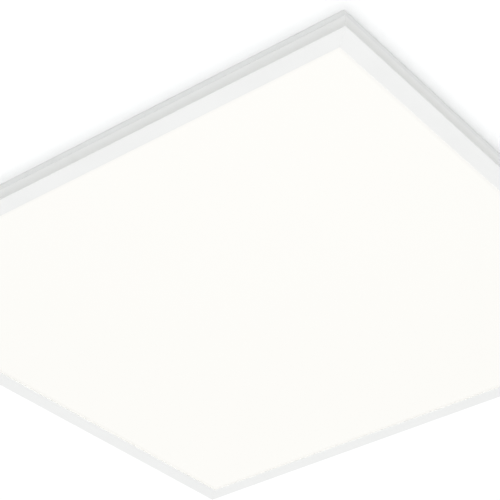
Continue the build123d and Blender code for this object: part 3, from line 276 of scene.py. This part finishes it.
# ============================== painted sheet and plastics ==============================
def frame_white(graph):
    """Satin powder coat, orange peel and grain, with a painted edge highlight and painted shade down the
    sides.
    """
    fine = graph.noise(0.35 * MM, 2.0)
    peel = graph.noise(2.2 * MM, 2.0)
    normal = graph.relief([(peel, 0.014 * MM), (fine, 0.004 * MM)], rounding=0.15 * MM)
    # Painted light on the sides: lighter towards the ceiling, painted shade towards the face; level faces
    # stay plain white.
    painted_side_shade = graph.step(graph.axis("Z"), FRAME_SIDE_SHADING_HEIGHT, 0.0)
    side = graph.mix(painted_side_shade, FRAME_SIDE_PAINTED_LIGHT, FRAME_SIDE_PAINTED_SHADE)
    upright = graph.step(graph.math("ABSOLUTE", graph.axis("Z", graph.facing)), 0.6, 0.3)
    colour = graph.mix(upright, graph.vary(FRAME_WHITE, 0.012, 45 * MM), side)
    # Painted highlight along the frame's edges.
    colour = graph.mix(graph.edges(0.8 * MM, 5 * MM), colour, shade(FRAME_WHITE, 1.18))
    graph.finish(colour, graph.about(0.44, 0.05, 9 * MM), normal, Specular_IOR_Level=0.35)


def tray_white(graph):
    """Satin coat on the folded tray: faint handling marks, thin paint on the folds, and painted light, paler
    by the ceiling.
    """
    peel = graph.noise(2.8 * MM, 2.0)
    sheet = graph.noise(60 * MM, 1.0)
    normal = graph.relief([(sheet, 0.16 * MM), (peel, 0.016 * MM)], rounding=0.4 * MM)
    # Painted light: the rim paler towards the ceiling, as if lit by its bounce.
    painted_ceiling_light = graph.step(graph.axis("Z"), TRAY_PAINTED_LIGHT_FROM, CEILING)
    colour = graph.mix(painted_ceiling_light, graph.vary(TRAY_WHITE, 0.025, 70 * MM), shade(TRAY_WHITE, 1.05))
    marks = graph.step(graph.noise(16 * MM, 6.0, (1.0, 5.0, 1.0)), 0.58, 0.7)
    colour = graph.mix(graph.math("MULTIPLY", marks, 0.25), colour, shade(TRAY_WHITE, 0.86))
    colour = graph.mix(graph.edges(0.6 * MM, 4 * MM), colour, shade(TRAY_WHITE, 0.94))
    graph.finish(colour, graph.about(0.4, 0.08, 22 * MM), normal)


def opal(graph):
    """Opal sheet lit evenly from behind, dimmer beside the lip. It casts more light than the camera shows."""
    across = graph.math("ABSOLUTE", graph.axis("X"))
    along = graph.math("ABSOLUTE", graph.axis("Y"))
    rim = graph.step(graph.math("MAXIMUM", across, along), HALF - BEZEL - GLOW_FADE, HALF - BEZEL)
    seen = graph.add("ShaderNodeLightPath").outputs["Is Camera Ray"]
    cast = graph.math("SUBTRACT", GLOW_CAST, graph.math("MULTIPLY", rim, GLOW_CAST - GLOW_CAST_RIM))
    strength = graph.add("ShaderNodeMapRange", {"Value": seen, "To Min": cast, "To Max": GLOW_SHOWN})
    cloud = graph.about(1.0, 0.006, 120 * MM)
    matt = graph.noise(0.25 * MM, 2.0)
    normal = graph.relief([(matt, 0.003 * MM)], rounding=0.2 * MM)
    graph.finish(
        grey(0.27, 0.01), graph.about(0.36, 0.03, 30 * MM), normal,
        Emission_Color=graph.mix(rim, GLOW_COLOUR, GLOW_EDGE),
        Emission_Strength=graph.math("MULTIPLY", strength.outputs[0], cloud),
    )


def moulded(graph, colour, roughness, spark_size, spark_depth, sheen=0.5):
    """Injection-moulded plastic with a spark-eroded skin and paler edges."""
    spark = graph.cells(spark_size)
    flow = graph.noise(14 * MM, 2.0)
    normal = graph.relief([(flow, 0.05 * MM), (spark, spark_depth)], rounding=0.3 * MM)
    shown = graph.vary(colour, 0.03, 18 * MM)
    shown = graph.mix(graph.edges(0.4 * MM, 2 * MM), shown, shade(colour, 1.12))
    graph.finish(shown, graph.about(roughness, 0.07, 6 * MM), normal, Specular_IOR_Level=sheen)


def casing_white(graph):
    moulded(graph, grey(0.76, 0.012), 0.5, 0.5 * MM, 0.03 * MM)


def connector_white(graph):
    moulded(graph, (0.8, 0.77, 0.68, 1.0), 0.34, 0.3 * MM, 0.008 * MM)


def button_orange(graph):
    moulded(graph, (0.86, 0.24, 0.025, 1.0), 0.32, 0.3 * MM, 0.01 * MM)


def chip_black(graph):
    moulded(graph, grey(0.022), 0.55, 0.12 * MM, 0.006 * MM)


def black_rubber(graph):
    """Matt rubber with a pale bloom in patches and a fine pitted skin."""
    pits = graph.noise(0.3 * MM, 3.0)
    normal = graph.relief([(pits, 0.03 * MM)], rounding=0.4 * MM)
    bloom = graph.step(graph.noise(5 * MM, 5.0), 0.5, 0.72)
    colour = graph.mix(graph.math("MULTIPLY", bloom, 0.4), grey(0.018), grey(0.06))
    graph.finish(colour, graph.about(0.74, 0.08, 4 * MM), normal, Specular_IOR_Level=0.3)


def foam(graph):
    """Closed-cell buffer foam: round cells half a millimetre wide."""
    bubbles = graph.cells(0.6 * MM)
    normal = graph.relief([(bubbles, 0.12 * MM)], rounding=0.3 * MM)
    colour = graph.mix(graph.step(bubbles, 0.2, 0.7), grey(0.84), grey(0.66))
    graph.finish(colour, 0.82, normal, Sheen_Weight=0.2)


def reflector(graph):
    """White reflector film, satin and slightly rippled."""
    ripple = graph.noise(25 * MM, 2.0)
    voids = graph.noise(0.15 * MM, 2.0)
    normal = graph.relief([(ripple, 0.1 * MM), (voids, 0.003 * MM)], rounding=0.1 * MM)
    graph.finish(graph.vary(grey(0.93), 0.01, 40 * MM), graph.about(0.3, 0.04, 20 * MM), normal)


def acrylic(graph):
    """Clear light guide whose printed dots grow away from the lit edges at +-X."""
    waves = graph.waves("X", "Y", 2.0 * MM)
    reach = graph.step(graph.math("ABSOLUTE", graph.axis("X")), HALF, 0.0)
    least = graph.math("SUBTRACT", 0.9, graph.math("MULTIPLY", reach, 0.6))
    dots = graph.math("GREATER_THAN", waves, least)
    normal = graph.relief([(dots, 0.01 * MM)], rounding=0.15 * MM)
    graph.finish(
        graph.mix(dots, grey(0.97), grey(0.9)), graph.math("MULTIPLY_ADD", dots, 0.5), normal,
        Transmission_Weight=graph.math("SUBTRACT", 1.0, dots), IOR=1.49,
    )


# ============================== metals ==============================
def bare_aluminium(graph):
    """Rolled mill-finish sheet: long rolling lines along Y, smudges and a few fine scratches."""
    rolling = graph.noise(1.2 * MM, 4.0, (1.0, 0.012, 1.0))
    sheet = graph.noise(90 * MM, 1.0)
    scratches = graph.step(graph.noise(9 * MM, 5.0, (9.0, 0.5, 1.0)), 0.66, 0.72)
    normal = graph.relief(
        [(sheet, 0.25 * MM), (rolling, 0.012 * MM), (scratches, -0.01 * MM)], rounding=0.3 * MM
    )
    lines = graph.step(rolling, CLOUD_DARK, CLOUD_LIGHT)
    colour = graph.mix(lines, (0.66, 0.67, 0.68, 1.0), (0.76, 0.765, 0.77, 1.0))
    smudges = graph.math("MULTIPLY", graph.noise(35 * MM, 4.0), 0.3)
    colour = graph.mix(smudges, colour, (0.56, 0.57, 0.59, 1.0))
    rough = graph.math("MULTIPLY_ADD", graph.step(graph.noise(28 * MM, 4.0), 0.4, 0.65), 0.12)
    rough.node.inputs[2].default_value = 0.3
    graph.finish(colour, rough, normal, Metallic=1.0, Anisotropic=0.45)


def plated(graph, colour, dull, roughness):
    """Plated steel: slight mottling, tool lines, and thinner, duller plating along its edges."""
    mottling = graph.noise(3.5 * MM, 4.0)
    lines = graph.noise(0.4 * MM, 3.0, (1.0, 0.15, 1.0))
    normal = graph.relief([(lines, 0.006 * MM)], rounding=0.18 * MM)
    shown = graph.mix(graph.step(mottling, 0.35, 0.68), colour, shade(colour, 0.86))
    shown = graph.mix(graph.edges(0.3 * MM, 1.2 * MM), shown, dull)
    graph.finish(shown, graph.about(roughness, 0.1, 2.5 * MM), normal, Metallic=1.0)


def zinc_steel(graph):
    plated(graph, (0.66, 0.69, 0.73, 1.0), (0.44, 0.44, 0.43, 1.0), 0.32)


def copper_tin(graph):
    plated(graph, (0.74, 0.66, 0.5, 1.0), (0.62, 0.38, 0.22, 1.0), 0.28)


def spring_steel(graph):
    plated(graph, (0.5, 0.51, 0.54, 1.0), (0.3, 0.29, 0.28, 1.0), 0.24)


# ============================== electrical parts ==============================
def board(graph, colour, track):
    """Solder mask over raised copper tracks that run square to each other."""
    half_width = 0.35 * MM
    row = graph.math("PINGPONG", graph.axis("X"), 1.7 * MM)
    column = graph.math("PINGPONG", graph.axis("Y"), 2.3 * MM)
    rows = graph.math("LESS_THAN", row, half_width)
    columns = graph.math("LESS_THAN", column, half_width)
    region = graph.math("GREATER_THAN", graph.noise(9 * MM, 1.0), 0.5)
    other = graph.math("SUBTRACT", 1.0, region)
    tracks = graph.math("ADD", graph.math("MULTIPLY", rows, region), graph.math("MULTIPLY", columns, other))
    normal = graph.relief([(tracks, 0.035 * MM)], rounding=0.1 * MM)
    graph.finish(graph.mix(tracks, colour, track), graph.about(0.28, 0.05, 5 * MM), normal)


def board_green(graph):
    board(graph, (0.015, 0.12, 0.035, 1.0), (0.03, 0.2, 0.06, 1.0))


def board_white(graph):
    board(graph, grey(0.82, 0.01), grey(0.88, 0.01))


def led_phosphor(graph):
    """Each package is a white cup with a yellow phosphor window in its middle."""
    along = graph.math("PINGPONG", graph.math("ADD", graph.axis("Y"), LED_PITCH / 2), LED_PITCH / 2)
    from_middle = graph.math("SUBTRACT", LED_PITCH / 2, along)
    window_edge = 1.0 * MM
    window = graph.step(from_middle, window_edge + 0.15 * MM, window_edge)
    grains = graph.noise(0.12 * MM, 2.0)
    colour = graph.mix(window, grey(0.86, 0.02), graph.vary((0.9, 0.66, 0.12, 1.0), 0.08, 0.5 * MM))
    normal = graph.relief([(grains, 0.01 * MM)], rounding=0.1 * MM)
    glow = (1.0, 0.9, 0.7, 1.0)
    graph.finish(colour, 0.3, normal, Emission_Color=glow, Emission_Strength=window)


def tape(graph):
    """Thermal tape: grey filler with a woven glass carrier showing through."""
    weave = graph.waves("Y", "Z", 0.8 * MM)
    normal = graph.relief([(weave, 0.01 * MM)], rounding=0.05 * MM)
    graph.finish(graph.vary((0.42, 0.44, 0.47, 1.0), 0.06, 4 * MM), 0.7, normal)


def ferrite(graph):
    """Sintered ferrite: near black, matt, with fine bright grains and chipped corners."""
    grain = graph.noise(0.2 * MM, 4.0)
    normal = graph.relief([(grain, 0.02 * MM)], rounding=0.3 * MM)
    colour = graph.mix(graph.step(grain, 0.62, 0.75), grey(0.035), grey(0.1))
    colour = graph.mix(graph.edges(0.5 * MM, 1.5 * MM), colour, grey(0.16))
    graph.finish(colour, graph.about(0.6, 0.08, 2 * MM), normal)


def coil_tape(graph):
    """Yellow tape wound in overlapping turns."""
    turns = graph.math("PINGPONG", graph.axis("Z"), 0.9 * MM)
    lap = graph.step(turns, 0.75 * MM, 0.85 * MM)
    wrinkles = graph.noise(1.5 * MM, 3.0, (1.0, 1.0, 3.0))
    normal = graph.relief([(lap, 0.05 * MM), (wrinkles, 0.04 * MM)], rounding=0.2 * MM)
    colour = graph.mix(lap, graph.vary((0.8, 0.52, 0.04, 1.0), 0.06, 3 * MM), (0.66, 0.4, 0.03, 1.0))
    graph.finish(colour, 0.26, normal, Coat_Weight=0.3)


def capacitor_sleeve(graph):
    """Shrink sleeve, glossy, with faint shrink lines and scuffed rims."""
    lines = graph.noise(0.7 * MM, 2.0, (0.2, 1.0, 1.0))
    normal = graph.relief([(lines, 0.012 * MM)], rounding=0.25 * MM)
    colour = graph.vary((0.02, 0.026, 0.05, 1.0), 0.15, 2 * MM)
    colour = graph.mix(graph.edges(0.5 * MM, 1.0 * MM), colour, grey(0.2))
    graph.finish(colour, graph.about(0.22, 0.06, 2 * MM), normal, Coat_Weight=0.25)


def insulation(graph, colour, roughness=0.34):
    """Extruded wire insulation: faint draw lines, dust and small scuffs."""
    draw = graph.noise(0.5 * MM, 2.0)
    normal = graph.relief([(draw, 0.012 * MM)], rounding=0.1 * MM)
    shown = graph.vary(colour, 0.07, 6 * MM)
    scuffs = graph.step(graph.noise(2.5 * MM, 6.0), 0.62, 0.72)
    shown = graph.mix(graph.math("MULTIPLY", scuffs, 0.3), shown, shade(colour, 1.35))
    graph.finish(shown, graph.about(roughness, 0.08, 3 * MM), normal)


def wire_brown(graph):
    insulation(graph, (0.14, 0.05, 0.02, 1.0))


def wire_blue(graph):
    insulation(graph, (0.02, 0.09, 0.42, 1.0))


def link_red(graph):
    insulation(graph, (0.5, 0.02, 0.015, 1.0))


def lead_white(graph):
    insulation(graph, grey(0.74, 0.01), roughness=0.46)


def wire_green(graph):
    """Earth insulation: green on two sides, yellow on the other two."""
    geometry = graph.add("ShaderNodeNewGeometry")
    upright = graph.math("ABSOLUTE", graph.axis("Z", geometry.outputs["Normal"]))
    stripe = graph.step(upright, 0.62, 0.66)
    draw = graph.noise(0.5 * MM, 2.0)
    normal = graph.relief([(draw, 0.012 * MM)], rounding=0.1 * MM)
    green = graph.vary((0.03, 0.26, 0.05, 1.0), 0.08, 5 * MM)
    yellow = graph.vary((0.8, 0.66, 0.04, 1.0), 0.06, 5 * MM)
    graph.finish(graph.mix(stripe, green, yellow), graph.about(0.34, 0.08, 3 * MM), normal)


FINISHES = {
    "frame_white": frame_white, "tray_white": tray_white, "opal": opal, "acrylic": acrylic,
    "reflector": reflector, "foam": foam, "bare_aluminium": bare_aluminium, "zinc_steel": zinc_steel,
    "copper_tin": copper_tin, "spring_steel": spring_steel, "board_white": board_white,
    "led_phosphor": led_phosphor, "tape": tape, "black_rubber": black_rubber, "casing_white": casing_white,
    "button_orange": button_orange, "board_green": board_green, "ferrite": ferrite, "coil_tape": coil_tape,
    "capacitor_sleeve": capacitor_sleeve, "chip_black": chip_black, "connector_white": connector_white,
    "wire_brown": wire_brown, "wire_blue": wire_blue, "wire_green": wire_green, "lead_white": lead_white,
    "link_red": link_red,
}


def make_finishes():
    """One material for each material slot of the record."""
    made = {}
    for slot, paint in FINISHES.items():
        graph = Graph(slot + "_finish")
        paint(graph)
        made[slot] = graph.material
    return made


def dress_frame(finishes):
    """Gives every CAD node the finish of its material slot."""
    for part in frame["record"]["subparts"]:
        materials = frame["nodes"][part["node"]].data.materials
        materials.clear()
        materials.append(finishes[part["material_slot"]])


# ============================== lead and springs ==============================
def rounded_path(corners, bend, steps=8):
    """Points along straight runs between the corners, with a curve of about `bend` at each corner."""
    points = [corners[0]]
    for before, corner, after in zip(corners, corners[1:], corners[2:]):
        into = (before - corner).normalized() * min(bend, (before - corner).length / 2)
        out = (after - corner).normalized() * min(bend, (after - corner).length / 2)
        for index in range(steps + 1):
            t = index / steps
            points.append(corner + into * (1 - t) ** 2 + out * t ** 2)
    points.append(corners[-1])
    return points


def resample(points, spacing):
    """The same path cut into even short steps."""
    even = [points[0]]
    for start, end in zip(points, points[1:]):
        count = max(1, round((end - start).length / spacing))
        even += [start.lerp(end, index / count) for index in range(1, count + 1)]
    return even


def tube(name, points, radius):
    """A closed tube swept along the points without twist."""
    mesh = bmesh.new()
    befores = points[:1] + points[:-1]
    afters = points[1:] + points[-1:]
    tangents = [(after - before).normalized() for before, after in zip(befores, afters)]
    side = tangents[0].orthogonal().normalized()
    rings = []
    for index, (point, tangent) in enumerate(zip(points, tangents)):
        side = (side - tangent * side.dot(tangent)).normalized()
        across = tangent.cross(side)
        ring = []
        for step in range(TUBE_SIDES):
            angle = 2.0 * math.pi * step / TUBE_SIDES
            ring.append(mesh.verts.new(point + (side * math.cos(angle) + across * math.sin(angle)) * radius))
        rings.append(ring)
    for lower, upper in zip(rings, rings[1:]):
        for step in range(TUBE_SIDES):
            after = (step + 1) % TUBE_SIDES
            mesh.faces.new((lower[step], lower[after], upper[after], upper[step]))
    mesh.faces.new(reversed(rings[0]))
    mesh.faces.new(rings[-1])
    for face in mesh.faces:
        face.smooth = len(face.verts) == 4
    bmesh.ops.recalc_face_normals(mesh, faces=mesh.faces)
    data = bpy.data.meshes.new(name)
    mesh.to_mesh(data)
    mesh.free()
    swept = bpy.data.objects.new(name, data)
    bpy.context.scene.collection.objects.link(swept)
    return swept


def low_voltage_lead(finishes):
    """One unbroken lead from the plug to the back plate's grommet, bending between tray and light module."""
    tray_low, tray_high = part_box("dc_lead_tray")
    panel_low, panel_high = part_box("dc_lead_panel")
    clip_low, clip_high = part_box("lead_clips")
    radius = -tray_low.x
    level = tray_high.z - radius
    row = (clip_low.y + clip_high.y) / 2
    last = panel_high.y - radius
    low_level = panel_low.z + radius
    corners = [
        Vector((0.0, tray_low.y, level)),
        Vector((0.0, row, level)),
        Vector((LEAD_TURN_X, row, level)),
        Vector((LEAD_TURN_X, last, level)),
        Vector((LEAD_DROP_X, last, low_level)),
        Vector((panel_high.x, last, low_level)),
    ]
    lead = tube("low_voltage_lead", resample(rounded_path(corners, LEAD_BEND), LEAD_STEP), radius)
    lead.data.materials.append(finishes["lead_white"])
    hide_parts("dc_lead_tray", "dc_lead_panel")
    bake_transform(lead)


def catch_spring(side, finishes):
    """A coil spring with closed ends, laid in the catch's housing at its rest length."""
    plunger = "catch_plunger_" + side
    low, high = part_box("catch_springs")
    plunger_low, plunger_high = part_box(plunger)
    middle = (plunger_low + plunger_high) / 2
    coil_radius = (high.z - low.z) / 2 - SPRING_WIRE_RADIUS
    length = high.y - low.y
    wire = 2.0 * SPRING_WIRE_RADIUS
    open_turns = SPRING_TURNS - CLOSED_TURNS
    open_pitch = (length - (CLOSED_TURNS + 1) * wire) / open_turns
    points = []
    for index in range(SPRING_TURNS * SPRING_STEPS + 1):
        turn = index / SPRING_STEPS
        opened = min(max(turn - CLOSED_TURNS / 2, 0.0), open_turns)
        rise = SPRING_WIRE_RADIUS + opened * open_pitch + (turn - opened) * wire
        angle = 2.0 * math.pi * turn
        across = coil_radius * math.cos(angle)
        up = coil_radius * math.sin(angle)
        points.append(Vector((middle.x + across, low.y + rise, middle.z + up)))
    spring = tube("catch_spring_" + side, points, SPRING_WIRE_RADIUS)
    spring.data.materials.append(finishes["spring_steel"])
    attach(spring, "tray")
    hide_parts("catch_springs")
    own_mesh(spring)


# ============================== stage, light, camera ==============================
def stage_material(name, above):
    """Plain white that is there only while the camera is on its side: above the object or below it."""
    graph = Graph(name)
    inputs = {"Vector": (0.0, 0.0, 1.0)}
    up = graph.add(
        "ShaderNodeVectorTransform", inputs, vector_type="VECTOR", convert_from="WORLD", convert_to="CAMERA"
    )
    depth = graph.axis("Z", up.outputs[0])
    seen = graph.math("LESS_THAN" if above else "GREATER_THAN", depth, 0.0)
    white = graph.add("ShaderNodeBsdfDiffuse", {"Color": STAGE_WHITE})
    clear = graph.add("ShaderNodeBsdfTransparent")
    either = graph.add("ShaderNodeMixShader", {0: seen, 1: clear.outputs[0], 2: white.outputs[0]})
    graph.add("ShaderNodeOutputMaterial", {"Surface": either.outputs[0]})
    return graph.material


def stage_plane(name, height, material):
    """A large level square."""
    half = STAGE_SIZE / 2
    corners = [(-half, -half, 0.0), (half, -half, 0.0), (half, half, 0.0), (-half, half, 0.0)]
    data = bpy.data.meshes.new(name)
    data.from_pydata(corners, [], [(0, 1, 2, 3)])
    data.materials.append(material)
    plane = bpy.data.objects.new(name, data)
    plane.location.z = height
    bpy.context.scene.collection.objects.link(plane)
    return plane


def make_stage():
    """A ceiling for views from below. For views from above, a floor that stays under the hanging module."""
    stage_plane("ceiling", CEILING + STAGE_GAP, stage_material("ceiling_paint", above=False))
    floor = stage_plane("floor", -STAGE_GAP, stage_material("floor_paint", above=True))
    edge = bpy.data.objects.new("module_front_edge", None)
    bpy.context.scene.collection.objects.link(edge)
    module = frame["bodies"]["light_module"]
    edge.parent = module
    edge.location = module.matrix_world.inverted() @ Vector((0.0, -HALF, FACE))
    follow = floor.constraints.new("COPY_LOCATION")
    follow.target = edge
    follow.use_x = False
    follow.use_y = False
    follow.use_offset = True


def make_sky():
    """Soft white surroundings, brighter overhead and underfoot and a little brighter behind the object."""
    world = bpy.data.worlds.new("studio")
    world.use_nodes = True
    bpy.context.scene.world = world
    nodes, links = world.node_tree.nodes, world.node_tree.links
    nodes.clear()
    place = nodes.new("ShaderNodeTexCoord")
    split = nodes.new("ShaderNodeSeparateXYZ")
    height = nodes.new("ShaderNodeMath")
    height.operation = "ABSOLUTE"
    strength = nodes.new("ShaderNodeMapRange")
    strength.inputs["To Min"].default_value = SKY_HORIZON
    strength.inputs["To Max"].default_value = SKY_POLE
    tilt = nodes.new("ShaderNodeVectorMath")
    tilt.operation = "DOT_PRODUCT"
    tilt.inputs[1].default_value = SKY_TILT
    total = nodes.new("ShaderNodeMath")
    light = nodes.new("ShaderNodeBackground")
    backdrop = nodes.new("ShaderNodeBackground")
    backdrop.inputs["Color"].default_value = BACKDROP_WHITE
    ray = nodes.new("ShaderNodeLightPath")
    either = nodes.new("ShaderNodeMixShader")
    output = nodes.new("ShaderNodeOutputWorld")
    links.new(place.outputs["Generated"], split.inputs[0])
    links.new(split.outputs["Z"], height.inputs[0])
    links.new(height.outputs[0], strength.inputs["Value"])
    links.new(place.outputs["Generated"], tilt.inputs[0])
    links.new(strength.outputs[0], total.inputs[0])
    links.new(tilt.outputs["Value"], total.inputs[1])
    links.new(total.outputs[0], light.inputs["Strength"])
    links.new(ray.outputs["Is Camera Ray"], either.inputs[0])
    links.new(light.outputs[0], either.inputs[1])
    links.new(backdrop.outputs[0], either.inputs[2])
    links.new(either.outputs[0], output.inputs["Surface"])


def soft_light(name, direction, power, colour):
    """A large square light that faces the object from `direction`."""
    data = bpy.data.lights.new(name, "AREA")
    data.size = LIGHT_SIZE
    data.energy = power
    data.color = colour
    light = bpy.data.objects.new(name, data)
    towards = Vector(direction).normalized()
    light.location = towards * LIGHT_DISTANCE
    light.rotation_mode = "QUATERNION"
    light.rotation_quaternion = (-towards).to_track_quat("-Z", "Y")
    bpy.context.scene.collection.objects.link(light)


def make_camera():
    """The camera below the panel, rolled a little about its line of sight."""
    data = bpy.data.cameras.new("camera")
    data.sensor_width = SENSOR
    data.lens = LENS
    camera = bpy.data.objects.new("camera", data)
    camera.location = CAMERA_PLACE
    camera.rotation_mode = "QUATERNION"
    look = (CAMERA_AIM - CAMERA_PLACE).to_track_quat("-Z", "Y")
    camera.rotation_quaternion = look @ Quaternion((0.0, 0.0, 1.0), CAMERA_ROLL)
    bpy.context.scene.collection.objects.link(camera)
    bpy.context.scene.camera = camera


finishes = make_finishes()
dress_frame(finishes)
low_voltage_lead(finishes)
catch_spring("left", finishes)
catch_spring("right", finishes)
make_stage()
make_sky()
soft_light("key_above", (-0.7, -0.5, 1.0), KEY_POWER, WARM)
soft_light("key_below", (0.26, -0.52, -1.0), KEY_POWER, COOL)
soft_light("fill_below", (-0.35, 0.5, -1.0), FILL_POWER, COOL)
make_camera()
bpy.context.scene.view_settings.view_transform = "Standard"
